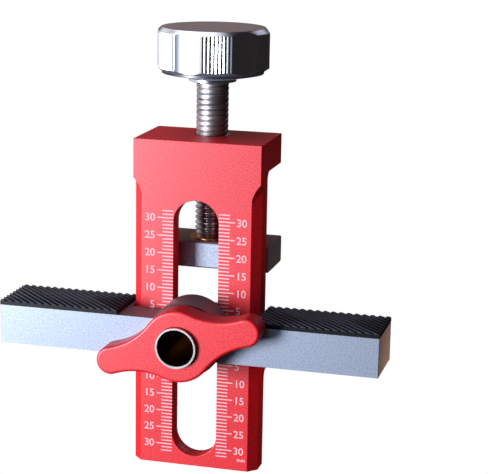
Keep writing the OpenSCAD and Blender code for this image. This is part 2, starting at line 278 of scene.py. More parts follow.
t_line = tn.new("GeometryNodeMeshLine")
t_step = tn.new("ShaderNodeCombineXYZ")
t_index = tn.new("GeometryNodeInputIndex")
t_mod = tn.new("ShaderNodeMath")
t_mod.operation = "MODULO"
t_mod.inputs[1].default_value = 5.0
t_fifth = tn.new("ShaderNodeMath")
t_fifth.operation = "LESS_THAN"
t_fifth.inputs[1].default_value = 0.5
t_pick = tn.new("GeometryNodeSwitch")
t_pick.input_type = "FLOAT"
t_size = tn.new("ShaderNodeCombineXYZ")
t_half = tn.new("ShaderNodeMath")
t_half.operation = "MULTIPLY"
t_half.inputs[1].default_value = 0.5
t_shift = tn.new("ShaderNodeCombineXYZ")
t_cube = tn.new("GeometryNodeMeshCube")
t_cube.inputs["Size"].default_value = (1, 1, 1)
t_move = tn.new("GeometryNodeTransform")
t_put = tn.new("GeometryNodeInstanceOnPoints")
t_real = tn.new("GeometryNodeRealizeInstances")
t_mat = tn.new("GeometryNodeSetMaterial")
tl.new(t_in.outputs["Count"], t_line.inputs["Count"])
tl.new(t_in.outputs["Pitch"], t_step.inputs["Z"])
tl.new(t_step.outputs[0], t_line.inputs["Offset"])
tl.new(t_index.outputs[0], t_mod.inputs[0])
tl.new(t_mod.outputs[0], t_fifth.inputs[0])
tl.new(t_fifth.outputs[0], t_pick.inputs["Switch"])
tl.new(t_in.outputs["Short"], t_pick.inputs["False"])
tl.new(t_in.outputs["Long"], t_pick.inputs["True"])
tl.new(t_pick.outputs[0], t_size.inputs["X"])
tl.new(t_in.outputs["Height"], t_size.inputs["Y"])
tl.new(t_in.outputs["Line width"], t_size.inputs["Z"])
tl.new(t_in.outputs["Side"], t_half.inputs[0])
tl.new(t_half.outputs[0], t_shift.inputs["X"])
tl.new(t_cube.outputs["Mesh"], t_move.inputs["Geometry"])
tl.new(t_shift.outputs[0], t_move.inputs["Translation"])
tl.new(t_line.outputs["Mesh"], t_put.inputs["Points"])
tl.new(t_move.outputs["Geometry"], t_put.inputs["Instance"])
tl.new(t_size.outputs[0], t_put.inputs["Scale"])
tl.new(t_put.outputs["Instances"], t_real.inputs["Geometry"])
tl.new(t_real.outputs["Geometry"], t_mat.inputs["Geometry"])
tl.new(t_in.outputs["Marking"], t_mat.inputs["Material"])
tl.new(t_mat.outputs["Geometry"], t_out.inputs["Geometry"])
tick_names = {item.name: item.identifier for item in ticks.interface.items_tree if item.item_type == "SOCKET"}
for name, side, up in (("upper_right", 1, 1), ("upper_left", -1, 1), ("lower_right", 1, -1), ("lower_left", -1, -1)):
    run_mesh = bpy.data.meshes.new("scale_" + name)
    run = bpy.data.objects.new("scale_" + name, run_mesh)
    scene.collection.objects.link(run)
    run_make = run.modifiers.new("Scale run", "NODES")
    run_make.node_group = ticks
    run_make[tick_names["Side"]] = float(side)
    run_make[tick_names["Pitch"]] = 0.001 * up
    run_make[tick_names["Marking"]] = mark_white
    made = bpy.data.meshes.new_from_object(run.evaluated_get(bpy.context.evaluated_depsgraph_get()))
    run.modifiers.clear()
    run.data = made
    made.transform(Matrix.Translation((side * 0.00652, -0.007505, 0.006 if up > 0 else 0.0)))
    made.update()
    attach(run, "frame")

# Scale numbers: plain digits beside every fifth line, with the unit under the
# lower right run, marked the same way as the lines.
number_meshes = []
for side in (-1, 1):
    for up in (-1, 1):
        for value in range(0, 31, 5):
            number_meshes.append((str(value), 0.00305, "LEFT" if side > 0 else "RIGHT", 0.01155 if side > 0 else -0.01175,
                                  (0.00585 if up > 0 else -0.00015) + up * value * 0.001))
number_meshes.append(("mm", 0.0016, "CENTER", 0.0139, -0.0326))
numbers_data = bpy.data.meshes.new("scale_numbers")
number_verts = []
number_faces = []
for words, size, lean, at_x, at_z in number_meshes:
    text_data = bpy.data.curves.new("digits", "FONT")
    text_data.body = words
    text_data.size = size
    text_data.align_x = lean
    text_data.align_y = "CENTER"
    text_data.offset = 0.00003
    text_data.resolution_u = 4
    text = bpy.data.objects.new("digits", text_data)
    scene.collection.objects.link(text)
    flat = bpy.data.meshes.new_from_object(text.evaluated_get(bpy.context.evaluated_depsgraph_get()))
    base = len(number_verts)
    number_verts += [(v.co.x + at_x, -0.007512, v.co.y + at_z) for v in flat.vertices]
    number_faces += [[base + i for i in face.vertices] for face in flat.polygons]
    bpy.data.objects.remove(text)
    bpy.data.meshes.remove(flat)
numbers_data.from_pydata(number_verts, [], number_faces)
numbers_data.update()
numbers_data.materials.append(mark_white)
numbers = bpy.data.objects.new("scale_numbers", numbers_data)
scene.collection.objects.link(numbers)
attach(numbers, "frame")

# Clamp block: a sawn and blasted bar of grey anodised aluminium behind the plate.
# Its edges carry their own chamfers.
grey = bpy.data.materials.new("Grey anodised aluminium")
grey.use_nodes = True
yn = grey.node_tree.nodes
yl = grey.node_tree.links
grey_bsdf = yn["Principled BSDF"]
grey_bsdf.inputs["Metallic"].default_value = 0.5
grey_bsdf.inputs["Roughness"].default_value = 0.50
grey_grain = yn.new("ShaderNodeGroup")
grey_grain.node_tree = grain
grey_tint = yn.new("ShaderNodeMix")
grey_tint.data_type = "RGBA"
grey_tint.blend_type = "MULTIPLY"
grey_tint.inputs["Factor"].default_value = 1.0
# Painted shade: faces that look up are given a darker brownish colour.
grey_top_shade_mix = yn.new("ShaderNodeMix")
grey_top_shade_mix.data_type = "RGBA"
grey_top_shade_mix.inputs["A"].default_value = (0.35, 0.42, 0.54, 1)
grey_top_shade_mix.inputs["B"].default_value = (0.20, 0.135, 0.125, 1)
yl.new(grey_grain.outputs["Looks up"], grey_top_shade_mix.inputs["Factor"])
yl.new(grey_top_shade_mix.outputs["Result"], grey_tint.inputs["A"])
yl.new(grey_grain.outputs["Shade"], grey_tint.inputs["B"])
yl.new(grey_tint.outputs["Result"], grey_bsdf.inputs["Base Color"])
yl.new(grey_grain.outputs["Normal"], grey_bsdf.inputs["Normal"])
block = nodes["clamp_block"]
block.data.materials.clear()
block.data.materials.append(grey)
block_weld = block.modifiers.new("Join corners", "WELD")
block_weld.merge_threshold = 0.000002
block_edge = block.modifiers.new("Broken edges", "BEVEL")
block_edge.width = 0.00012
block_edge.segments = 2
block_edge.limit_method = "ANGLE"
block_edge.angle_limit = math.radians(32)
block_edge.harden_normals = True
block_edge.use_clamp_overlap = False

# Bush: turned brass, its flange shows as a ring round the screw.
brass = bpy.data.materials.new("Turned brass")
brass.use_nodes = True
brass_bsdf = brass.node_tree.nodes["Principled BSDF"]
brass_bsdf.inputs["Base Color"].default_value = (0.62, 0.31, 0.12, 1)
brass_bsdf.inputs["Metallic"].default_value = 1.0
brass_bsdf.inputs["Roughness"].default_value = 0.32
bush = nodes["screw_bush"]
bush.data.materials.clear()
bush.data.materials.append(brass)

# Clamp screw: steel rod with a rolled right-hand thread of 1.5 mm pitch from its
# shoulder up to the knob, and a plain grooved end below.
steel = bpy.data.materials.new("Rolled steel thread")
steel.use_nodes = True
en = steel.node_tree.nodes
el = steel.node_tree.links
steel_bsdf = en["Principled BSDF"]
steel_bsdf.inputs["Metallic"].default_value = 1.0
steel_at = en.new("ShaderNodeTexCoord")
steel_split = en.new("ShaderNodeSeparateXYZ")
steel_worn = en.new("ShaderNodeMapRange")
steel_worn.inputs["From Min"].default_value = 0.046
steel_worn.inputs["From Max"].default_value = 0.054
steel_worn.inputs["To Min"].default_value = 0.29
steel_worn.inputs["To Max"].default_value = 0.47
steel_thin = en.new("ShaderNodeVectorMath")
steel_thin.operation = "MULTIPLY"
steel_thin.inputs[1].default_value = (90, 90, 2600)
steel_noise = en.new("ShaderNodeTexNoise")
steel_noise.inputs["Scale"].default_value = 1.0
steel_noise.inputs["Detail"].default_value = 2.0
steel_shade = en.new("ShaderNodeMapRange")
steel_shade.inputs["From Min"].default_value = 0.3
steel_shade.inputs["From Max"].default_value = 0.7
steel_shade.inputs["To Min"].default_value = 0.55
steel_shade.inputs["To Max"].default_value = 1.35
steel_tint = en.new("ShaderNodeMix")
steel_tint.data_type = "RGBA"
steel_tint.blend_type = "MULTIPLY"
steel_tint.inputs["Factor"].default_value = 1.0
steel_tint.inputs["A"].default_value = (0.42, 0.40, 0.42, 1)
el.new(steel_at.outputs["Object"], steel_split.inputs[0])
el.new(steel_split.outputs["Z"], steel_worn.inputs["Value"])
el.new(steel_worn.outputs["Result"], steel_bsdf.inputs["Roughness"])
el.new(steel_at.outputs["Object"], steel_thin.inputs[0])
el.new(steel_thin.outputs["Vector"], steel_noise.inputs["Vector"])
el.new(steel_noise.outputs["Fac"], steel_shade.inputs["Value"])
el.new(steel_shade.outputs["Result"], steel_tint.inputs["B"])
el.new(steel_tint.outputs["Result"], steel_bsdf.inputs["Base Color"])
screw_low, screw_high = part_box("clamp_screw")
axis_y = (screw_low[1] + screw_high[1]) / 2
shoulder = 0.02855
thread_top = 0.0726
around = 72
rows = []
for height, radius in ((screw_low[2], 0.0), (screw_low[2], 0.0030), (screw_low[2] + 0.0005, 0.0035),
                       (0.02215, 0.0035), (0.02215, 0.0028), (0.02285, 0.0028), (0.02285, 0.0035),
                       (shoulder, 0.0035), (shoulder, 0.0036)):
    rows.append([(height, radius)] * around)
thread_rows = int((thread_top - shoulder) / 0.0015 * 24)
for row in range(thread_rows + 1):
    height = shoulder + (thread_top - shoulder) * row / thread_rows
    worn = min(1.0, max(0.0, (height - 0.048) / 0.006))
    half_width = 0.00066 * (1 - worn) + 0.00027 * worn
    depth = 0.00066 * (1 - worn) + 0.00036 * worn
    lead = min(1.0, (height - shoulder) / 0.0011)
    ring = []
    for step in range(around):
        phase = (height / 0.0015 - step / around) % 1.0
        away = abs(phase - 0.5) * 0.0015
        cut = max(0.0, 1.0 - away / half_width)
        cut = cut * worn + cut * cut * (3 - 2 * cut) * (1 - worn)
        ring.append((height, 0.0045 - depth * cut - 0.0009 * (1 - lead) * (1 - cut)))
    rows.append(ring)
rows.append([(thread_top, 0.0040)] * around)
rows.append([(thread_top + 0.009, 0.0040)] * around)
screw_verts = []
screw_faces = []
for ring in rows:
    for step, (height, radius) in enumerate(ring):
        angle = 2 * math.pi * step / around
        screw_verts.append((radius * math.cos(angle), axis_y + radius * math.sin(angle), height))
for row in range(len(rows) - 1):
    for step in range(around):
        ahead = (step + 1) % around
        screw_faces.append((row * around + step, row * around + ahead,
                            (row + 1) * around + ahead, (row + 1) * around + step))
screw_faces.append([(len(rows) - 1) * around + step for step in range(around)])
screw_mesh = bpy.data.meshes.new("screw_thread")
screw_mesh.from_pydata(screw_verts, [], screw_faces)
screw_mesh.update()
screw_mesh.polygons.foreach_set("use_smooth", [True] * len(screw_mesh.polygons))
screw_mesh.materials.append(steel)
screw = bpy.data.objects.new("screw_thread", screw_mesh)
scene.collection.objects.link(screw)
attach(screw, "screw")
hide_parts("clamp_screw")

# Washer and clip: plain steel hardware in the pocket under the clamp block.
plain_steel = bpy.data.materials.new("Plain steel")
plain_steel.use_nodes = True
plain_bsdf = plain_steel.node_tree.nodes["Principled BSDF"]
plain_bsdf.inputs["Base Color"].default_value = (0.42, 0.42, 0.44, 1)
plain_bsdf.inputs["Metallic"].default_value = 1.0
plain_bsdf.inputs["Roughness"].default_value = 0.38
for name in ("screw_washer", "retaining_clip"):
    nodes[name].data.materials.clear()
    nodes[name].data.materials.append(plain_steel)

# Knob: turned bright aluminium with six smooth milled scallops. Between them run
# bands of eight upright grooves with rounded ridges. The top face is dull.
bright = bpy.data.materials.new("Bright turned aluminium")
bright.use_nodes = True
bn = bright.node_tree.nodes
bl = bright.node_tree.links
bright_bsdf = bn["Principled BSDF"]
bright_bsdf.inputs["Metallic"].default_value = 1.0
bright_at = bn.new("ShaderNodeTexCoord")
bright_split = bn.new("ShaderNodeSeparateXYZ")
bright_top = bn.new("ShaderNodeMapRange")
bright_top.inputs["From Min"].default_value = 0.85
bright_top.inputs["From Max"].default_value = 0.97
# Painted reflection: faces that look up get a warm, darker tint; their higher roughness is the duller faced finish.
bright_top_reflection_mix = bn.new("ShaderNodeMix")
bright_top_reflection_mix.data_type = "RGBA"
bright_top_reflection_mix.inputs["A"].default_value = (0.86, 0.88, 0.92, 1)
bright_top_reflection_mix.inputs["B"].default_value = (0.80, 0.70, 0.70, 1)
# Painted reflection and painted shade: faces that look down get a darker blue-grey tint, and they are also rougher.
bright_low = bn.new("ShaderNodeMapRange")
bright_low.inputs["From Min"].default_value = -0.15
bright_low.inputs["From Max"].default_value = -0.6
bright_underside_reflection_mix = bn.new("ShaderNodeMix")
bright_underside_reflection_mix.data_type = "RGBA"
bright_underside_reflection_mix.inputs["B"].default_value = (0.30, 0.40, 0.58, 1)
bright_rough = bn.new("ShaderNodeMapRange")
bright_rough.inputs["To Min"].default_value = 0.22
bright_rough.inputs["To Max"].default_value = 0.42
bl.new(bright_at.outputs["Normal"], bright_split.inputs[0])
bl.new(bright_split.outputs["Z"], bright_top.inputs["Value"])
bl.new(bright_top.outputs["Result"], bright_top_reflection_mix.inputs["Factor"])
bl.new(bright_top.outputs["Result"], bright_rough.inputs["Value"])
bl.new(bright_split.outputs["Z"], bright_low.inputs["Value"])
bl.new(bright_low.outputs["Result"], bright_underside_reflection_mix.inputs["Factor"])
bl.new(bright_top_reflection_mix.outputs["Result"], bright_underside_reflection_mix.inputs["A"])
bl.new(bright_underside_reflection_mix.outputs["Result"], bright_bsdf.inputs["Base Color"])
bright_under = bn.new("ShaderNodeMath")
bright_under.operation = "MULTIPLY_ADD"
bright_under.inputs[1].default_value = 0.42
bl.new(bright_low.outputs["Result"], bright_under.inputs[0])
bl.new(bright_rough.outputs["Result"], bright_under.inputs[2])
bl.new(bright_under.outputs[0], bright_bsdf.inputs["Roughness"])
knob_low, knob_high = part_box("knob")
rim_r = 0.0159
foot = knob_low[2]
rim_top = knob_high[2]
scallop_half = math.radians(15)
scallop_dip = 0.0006
chord = rim_r * math.sin(scallop_half)
scallop_r = (chord * chord + scallop_dip * scallop_dip) / (2 * scallop_dip)
scallop_far = rim_r * math.cos(scallop_half) - scallop_dip + scallop_r
ridge_step = math.radians(3.75)
ridge_depth = 0.00036
turned = [(0.0, foot + 0.009), (0.0040, foot + 0.009), (0.0040, foot), (0.0065, foot), (0.0066, foot + 0.0001),
          (0.0066, foot + 0.0008)]
turned += [(0.0066 + 0.00775 * k / 6, foot + 0.0008 + 0.0015 * k / 6) for k in range(1, 7)]
turned[-1] = (0.01420, foot + 0.0023)
turned += [(0.01435, foot + 0.0030)]
turned += [(0.01435 + 0.00155 * k / 8, foot + 0.0030 + 0.0010 * k / 8) for k in range(1, 9)]
turned += [(0.0159, foot + 0.0042), (0.0159, rim_top - 0.00145), (0.0159, rim_top - 0.00125)]
turned += [(0.0159 - 0.00135 * k / 12, rim_top - 0.00125 + 0.00117 * k / 12) for k in range(1, 13)]
turned += [(0.01451, rim_top - 0.00002), (0.01444, rim_top), (0.0120, rim_top), (0.0, rim_top)]
knob_cut = []
for lobe in range(6):
    first = math.radians(-100.4 + 60 * lobe)
    for step in range(24):
        off = -scallop_half + 2 * scallop_half * step / 24
        side = scallop_far * math.sin(off)
        knob_cut.append((first + off, scallop_far * math.cos(off) - math.sqrt(scallop_r ** 2 - side ** 2)))
    for step in range(112):
        off = 8 * ridge_step * step / 112
        across = 2 * abs(off / ridge_step - round(off / ridge_step))
        fall = max(0.0, across - 1 / 7) * 0.85 if across < 0.9 else 1.0
        knob_cut.append((first + scallop_half + off, rim_r - ridge_depth * fall))
around = len(knob_cut)
knob_verts = []
for radius, height in turned:
    for angle, limit in knob_cut:
        near = min(radius, limit)
        knob_verts.append((near * math.cos(angle), axis_y + near * math.sin(angle), height))
knob_faces = []
for row in range(len(turned) - 1):
    for step in range(around):
        ahead = (step + 1) % around
        knob_faces.append((row * around + step, row * around + ahead,
                           (row + 1) * around + ahead, (row + 1) * around + step))
knob_mesh = bpy.data.meshes.new("knob_ridged")
knob_mesh.from_pydata(knob_verts, [], knob_faces)
knob_mesh.validate()
knob_mesh.update()
knob_mesh.polygons.foreach_set("use_smooth", [True] * len(knob_mesh.polygons))
knob_mesh.set_sharp_from_angle(angle=math.radians(18))
knob_mesh.materials.append(bright)
knob = bpy.data.objects.new("knob_ridged", knob_mesh)
scene.collection.objects.link(knob)
knob_weld = knob.modifiers.new("Join poles", "WELD")
knob_weld.merge_threshold = 0.0000005
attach(knob, "screw")
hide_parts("knob")

# Crossbar: blue-grey anodised aluminium, notched over the plate, with a round hub.
bar_grey = bpy.data.materials.new("Blue-grey anodised aluminium")
bar_grey.use_nodes = True
an = bar_grey.node_tree.nodes
al = bar_grey.node_tree.links
bar_bsdf = an["Principled BSDF"]
bar_bsdf.inputs["Metallic"].default_value = 0.5
bar_bsdf.inputs["Roughness"].default_value = 0.50
bar_grain = an.new("ShaderNodeGroup")
bar_grain.node_tree = grain
bar_tint = an.new("ShaderNodeMix")
bar_tint.data_type = "RGBA"
bar_tint.blend_type = "MULTIPLY"
bar_tint.inputs["Factor"].default_value = 1.0
# Painted shade and painted reflection: faces that look up are given a darker, reddish colour.
bar_top_shade_mix = an.new("ShaderNodeMix")
bar_top_shade_mix.data_type = "RGBA"
bar_top_shade_mix.inputs["A"].default_value = (0.34, 0.40, 0.53, 1)
bar_top_shade_mix.inputs["B"].default_value = (0.17, 0.105, 0.12, 1)
al.new(bar_grain.outputs["Looks up"], bar_top_shade_mix.inputs["Factor"])
# Painted shadow: the hub's front face, 8.8 to 9.4 mm and more from its axis and above 10 mm, is darkened as the wing
# nut's shadow.
bar_at = an.new("ShaderNodeTexCoord")
bar_split = an.new("ShaderNodeSeparateXYZ")
bar_flat = an.new("ShaderNodeCombineXYZ")
bar_far = an.new("ShaderNodeVectorMath")
bar_far.operation = "DISTANCE"
bar_far.inputs[1].default_value = (0, 0, 0.0045)
bar_rim = an.new("ShaderNodeMapRange")
bar_rim.inputs["From Min"].default_value = 0.0088
bar_rim.inputs["From Max"].default_value = 0.0094
bar_fore = an.new("ShaderNodeMapRange")
bar_fore.inputs["From Min"].default_value = -0.0174
bar_fore.inputs["From Max"].default_value = -0.0177
bar_high = an.new("ShaderNodeMapRange")
bar_high.inputs["From Min"].default_value = 0.0099
bar_high.inputs["From Max"].default_value = 0.0101
bar_shade = an.new("ShaderNodeMath")
bar_shade.operation = "MULTIPLY"
bar_rim_shadow_mask = an.new("ShaderNodeMath")
bar_rim_shadow_mask.operation = "MULTIPLY"
bar_rim_shadow_mix = an.new("ShaderNodeMix")
bar_rim_shadow_mix.data_type = "RGBA"
bar_rim_shadow_mix.inputs["B"].default_value = (0.055, 0.018, 0.026, 1)
al.new(bar_at.outputs["Object"], bar_split.inputs[0])
al.new(bar_split.outputs["X"], bar_flat.inputs["X"])
al.new(bar_split.outputs["Z"], bar_flat.inputs["Z"])
al.new(bar_flat.outputs[0], bar_far.inputs[0])
al.new(bar_far.outputs["Value"], bar_rim.inputs["Value"])
al.new(bar_split.outputs["Y"], bar_fore.inputs["Value"])
al.new(bar_split.outputs["Z"], bar_high.inputs["Value"])
al.new(bar_rim.outputs["Result"], bar_shade.inputs[0])
al.new(bar_fore.outputs["Result"], bar_shade.inputs[1])
al.new(bar_shade.outputs[0], bar_rim_shadow_mask.inputs[0])
al.new(bar_high.outputs["Result"], bar_rim_shadow_mask.inputs[1])
al.new(bar_rim_shadow_mask.outputs[0], bar_rim_shadow_mix.inputs["Factor"])
al.new(bar_top_shade_mix.outputs["Result"], bar_rim_shadow_mix.inputs["A"])
al.new(bar_rim_shadow_mix.outputs["Result"], bar_tint.inputs["A"])
al.new(bar_grain.outputs["Shade"], bar_tint.inputs["B"])
al.new(bar_tint.outputs["Result"], bar_bsdf.inputs["Base Color"])
al.new(bar_grain.outputs["Normal"], bar_bsdf.inputs["Normal"])
crossbar = nodes["crossbar"]
crossbar.data.materials.clear()
crossbar.data.materials.append(bar_grey)
bar_weld = crossbar.modifiers.new("Join corners", "WELD")
bar_weld.merge_threshold = 0.000002
bar_edge = crossbar.modifiers.new("Broken edges", "BEVEL")
bar_edge.width = 0.0002
bar_edge.segments = 2
bar_edge.limit_method = "ANGLE"
bar_edge.angle_limit = math.radians(32)
bar_edge.harden_normals = True
bar_edge.use_clamp_overlap = False

# Pads: strips of black rubber with slanting ribs, glued on the crossbar. Each is a
# thin backing with sharp-topped ribs, cut off square at the strip's edges.
rubber = bpy.data.materials.new("Black ribbed rubber")
rubber.use_nodes = True
kn = rubber.node_tree.nodes
kl = rubber.node_tree.links
rubber_bsdf = kn["Principled BSDF"]
rubber_at = kn.new("ShaderNodeTexCoord")
rubber_split = kn.new("ShaderNodeSeparateXYZ")
# Rib tops are lighter grey from wear; the valleys between the ribs are near-black as painted shade in the grooves.
rubber_wear_and_groove_shade = kn.new("ShaderNodeMapRange")
rubber_wear_and_groove_shade.inputs["From Min"].default_value = 0.01097
rubber_wear_and_groove_shade.inputs["From Max"].default_value = 0.01130
rubber_tint = kn.new("ShaderNodeMix")
rubber_tint.data_type = "RGBA"
rubber_tint.inputs["A"].default_value = (0.0015, 0.0015, 0.004, 1)
rubber_tint.inputs["B"].default_value = (0.042, 0.044, 0.068, 1)
kl.new(rubber_at.outputs["Object"], rubber_split.inputs[0])
kl.new(rubber_split.outputs["Z"], rubber_wear_and_groove_shade.inputs["Value"])
kl.new(rubber_wear_and_groove_shade.outputs["Result"], rubber_tint.inputs["Factor"])
kl.new(rubber_tint.outputs["Result"], rubber_bsdf.inputs["Base Color"])
rubber_bsdf.inputs["Specular IOR Level"].default_value = 0.25
rubber_bsdf.inputs["Roughness"].default_value = 0.5
ribs = bpy.data.node_groups.new("Ribbed strip", "GeometryNodeTree")
ribs.is_modifier = True
for label, kind, value in (("Length", "NodeSocketFloat", 0.0346), ("Depth", "NodeSocketFloat", 0.0178),
                           ("Backing", "NodeSocketFloat", 0.00095), ("Rib height", "NodeSocketFloat", 0.00035),
                           ("Rib foot", "NodeSocketFloat", 0.00115), ("Rib top", "NodeSocketFloat", 0.00040),
                           ("Spacing", "NodeSocketFloat", 0.0022), ("Slant", "NodeSocketFloat", -math.pi / 4),
                           ("Count", "NodeSocketInt", 27), ("Rubber", "NodeSocketMaterial", None)):
    socket = ribs.interface.new_socket(label, in_out="INPUT", socket_type=kind)
    if value is not None:
        socket.default_value = value
ribs.interface.new_socket("Geometry", in_out="OUTPUT", socket_type="NodeSocketGeometry")
pn = ribs.nodes
pl = ribs.links
p_in = pn.new("NodeGroupInput")
p_out = pn.new("NodeGroupOutput")
p_profile = pn.new("GeometryNodeCurvePrimitiveQuadrilateral")
p_profile.mode = "TRAPEZOID"
p_profile.inputs["Offset"].default_value = 0.0
p_spine = pn.new("GeometryNodeCurvePrimitiveLine")
p_spine.inputs["Start"].default_value = (-0.03, 0, 0)
p_spine.inputs["End"].default_value = (0.03, 0, 0)
p_rib = pn.new("GeometryNodeCurveToMesh")
p_rib.inputs["Fill Caps"].default_value = True
p_line = pn.new("GeometryNodeMeshLine")
p_step = pn.new("ShaderNodeCombineXYZ")
p_first = pn.new("ShaderNodeCombineXYZ")
p_span = pn.new("ShaderNodeMath")
p_span.operation = "MULTIPLY"
p_back = pn.new("ShaderNodeMath")
p_back.operation = "MULTIPLY"
p_back.inputs[1].default_value = -0.5
p_turn = pn.new("ShaderNodeCombineXYZ")
p_put = pn.new("GeometryNodeInstanceOnPoints")
p_real = pn.new("GeometryNodeRealizeInstances")
p_lift = pn.new("GeometryNodeTransform")
p_lift_z = pn.new("ShaderNodeMath")
p_lift_z.operation = "MULTIPLY_ADD"
p_lift_z.inputs[1].default_value = 0.5
p_lift_v = pn.new("ShaderNodeCombineXYZ")
p_box = pn.new("GeometryNodeMeshCube")
p_box_size = pn.new("ShaderNodeCombineXYZ")
p_box_h = pn.new("ShaderNodeMath")
p_box_h.operation = "ADD"
p_box_move = pn.new("GeometryNodeTransform")
p_box_half = pn.new("ShaderNodeMath")
p_box_half.operation = "MULTIPLY"
p_box_half.inputs[1].default_value = 0.5
p_box_v = pn.new("ShaderNodeCombineXYZ")
p_cut = pn.new("GeometryNodeMeshBoolean")
p_cut.operation = "INTERSECT"
p_cut.solver = "EXACT"
p_slab = pn.new("GeometryNodeMeshCube")
p_slab_size = pn.new("ShaderNodeCombineXYZ")
p_slab_move = pn.new("GeometryNodeTransform")
p_slab_half = pn.new("ShaderNodeMath")
p_slab_half.operation = "MULTIPLY"
p_slab_half.inputs[1].default_value = 0.5
p_slab_v = pn.new("ShaderNodeCombineXYZ")
p_join = pn.new("GeometryNodeJoinGeometry")
p_mat = pn.new("GeometryNodeSetMaterial")
pl.new(p_in.outputs["Rib top"], p_profile.inputs["Bottom Width"])
pl.new(p_in.outputs["Rib foot"], p_profile.inputs["Top Width"])
pl.new(p_in.outputs["Rib height"], p_profile.inputs["Height"])
pl.new(p_spine.outputs["Curve"], p_rib.inputs["Curve"])
pl.new(p_profile.outputs["Curve"], p_rib.inputs["Profile Curve"])
pl.new(p_in.outputs["Count"], p_line.inputs["Count"])
pl.new(p_in.outputs["Spacing"], p_step.inputs["X"])
pl.new(p_step.outputs[0], p_line.inputs["Offset"])
pl.new(p_in.outputs["Spacing"], p_span.inputs[0])
pl.new(p_in.outputs["Count"], p_span.inputs[1])
pl.new(p_span.outputs[0], p_back.inputs[0])
pl.new(p_back.outputs[0], p_first.inputs["X"])
pl.new(p_first.outputs[0], p_line.inputs["Start Location"])
pl.new(p_in.outputs["Slant"], p_turn.inputs["Z"])
pl.new(p_line.outputs["Mesh"], p_put.inputs["Points"])
pl.new(p_rib.outputs["Mesh"], p_put.inputs["Instance"])
pl.new(p_turn.outputs[0], p_put.inputs["Rotation"])
pl.new(p_put.outputs["Instances"], p_real.inputs["Geometry"])
pl.new(p_real.outputs["Geometry"], p_lift.inputs["Geometry"])
pl.new(p_in.outputs["Rib height"], p_lift_z.inputs[0])
pl.new(p_in.outputs["Backing"], p_lift_z.inputs[2])
pl.new(p_lift_z.outputs[0], p_lift_v.inputs["Z"])
pl.new(p_lift_v.outputs[0], p_lift.inputs["Translation"])
pl.new(p_in.outputs["Length"], p_box_size.inputs["X"])
pl.new(p_in.outputs["Depth"], p_box_size.inputs["Y"])
pl.new(p_in.outputs["Backing"], p_box_h.inputs[0])
pl.new(p_in.outputs["Rib height"], p_box_h.inputs[1])
pl.new(p_box_h.outputs[0], p_box_size.inputs["Z"])
pl.new(p_box_size.outputs[0], p_box.inputs["Size"])
pl.new(p_box_h.outputs[0], p_box_half.inputs[0])
pl.new(p_box_half.outputs[0], p_box_v.inputs["Z"])
pl.new(p_box.outputs["Mesh"], p_box_move.inputs["Geometry"])
pl.new(p_box_v.outputs[0], p_box_move.inputs["Translation"])
pl.new(p_lift.outputs["Geometry"], p_cut.inputs["Mesh 2"])
pl.new(p_box_move.outputs["Geometry"], p_cut.inputs["Mesh 2"])
pl.new(p_in.outputs["Length"], p_slab_size.inputs["X"])
pl.new(p_in.outputs["Depth"], p_slab_size.inputs["Y"])
pl.new(p_in.outputs["Backing"], p_slab_size.inputs["Z"])
pl.new(p_slab_size.outputs[0], p_slab.inputs["Size"])
pl.new(p_in.outputs["Backing"], p_slab_half.inputs[0])
pl.new(p_slab_half.outputs[0], p_slab_v.inputs["Z"])
pl.new(p_slab.outputs["Mesh"], p_slab_move.inputs["Geometry"])
pl.new(p_slab_v.outputs[0], p_slab_move.inputs["Translation"])
pl.new(p_cut.outputs["Mesh"], p_join.inputs["Geometry"])
pl.new(p_slab_move.outputs["Geometry"], p_join.inputs["Geometry"])
pl.new(p_join.outputs["Geometry"], p_mat.inputs["Geometry"])
pl.new(p_in.outputs["Rubber"], p_mat.inputs["Material"])
pl.new(p_mat.outputs["Geometry"], p_out.inputs["Geometry"])
rib_names = {item.name: item.identifier for item in ribs.interface.items_tree if item.item_type == "SOCKET"}
for name in ("pad_left", "pad_right"):
    low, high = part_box(name)
    strip = bpy.data.objects.new(name + "_ribs", bpy.data.meshes.new(name + "_ribs"))
    scene.collection.objects.link(strip)
    strip_make = strip.modifiers.new("Ribbed strip", "NODES")
    strip_make.node_group = ribs
    strip_make[rib_names["Length"]] = high[0] - low[0]
    strip_make[rib_names["Depth"]] = high[1] - low[1]
    strip_make[rib_names["Rubber"]] = rubber
    made = bpy.data.meshes.new_from_object(strip.evaluated_get(bpy.context.evaluated_depsgraph_get()))
    strip.modifiers.clear()
    strip.data = made
    made.transform(Matrix.Translation(((low[0] + high[0]) / 2, (low[1] + high[1]) / 2, low[2])))
    made.update()
    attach(strip, "support")
    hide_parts(name)

# Drill sleeve: ground steel tube whose flat head slides in the track at the back.
# Its bore is coloured nearly black, as painted shade inside the tube.
sleeve_steel = bpy.data.materials.new("Ground steel")
sleeve_steel.use_nodes = True
vn = sleeve_steel.node_tree.nodes
vl = sleeve_steel.node_tree.links
sleeve_bsdf = vn["Principled BSDF"]
sleeve_bsdf.inputs["Metallic"].default_value = 1.0
sleeve_bsdf.inputs["Roughness"].default_value = 0.34
sleeve_bsdf.inputs["Specular Tint"].default_value = (0.60, 0.44, 0.32, 1)
wing_low, wing_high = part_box("wing_nut")
sleeve_z = (wing_low[2] + wing_high[2]) / 2
sleeve_at = vn.new("ShaderNodeTexCoord")
sleeve_off = vn.new("ShaderNodeVectorMath")
sleeve_off.operation = "MULTIPLY_ADD"
sleeve_off.inputs[1].default_value = (1, 0, 1)
sleeve_off.inputs[2].default_value = (0, 0, -sleeve_z)
sleeve_far = vn.new("ShaderNodeVectorMath")
sleeve_far.operation = "LENGTH"
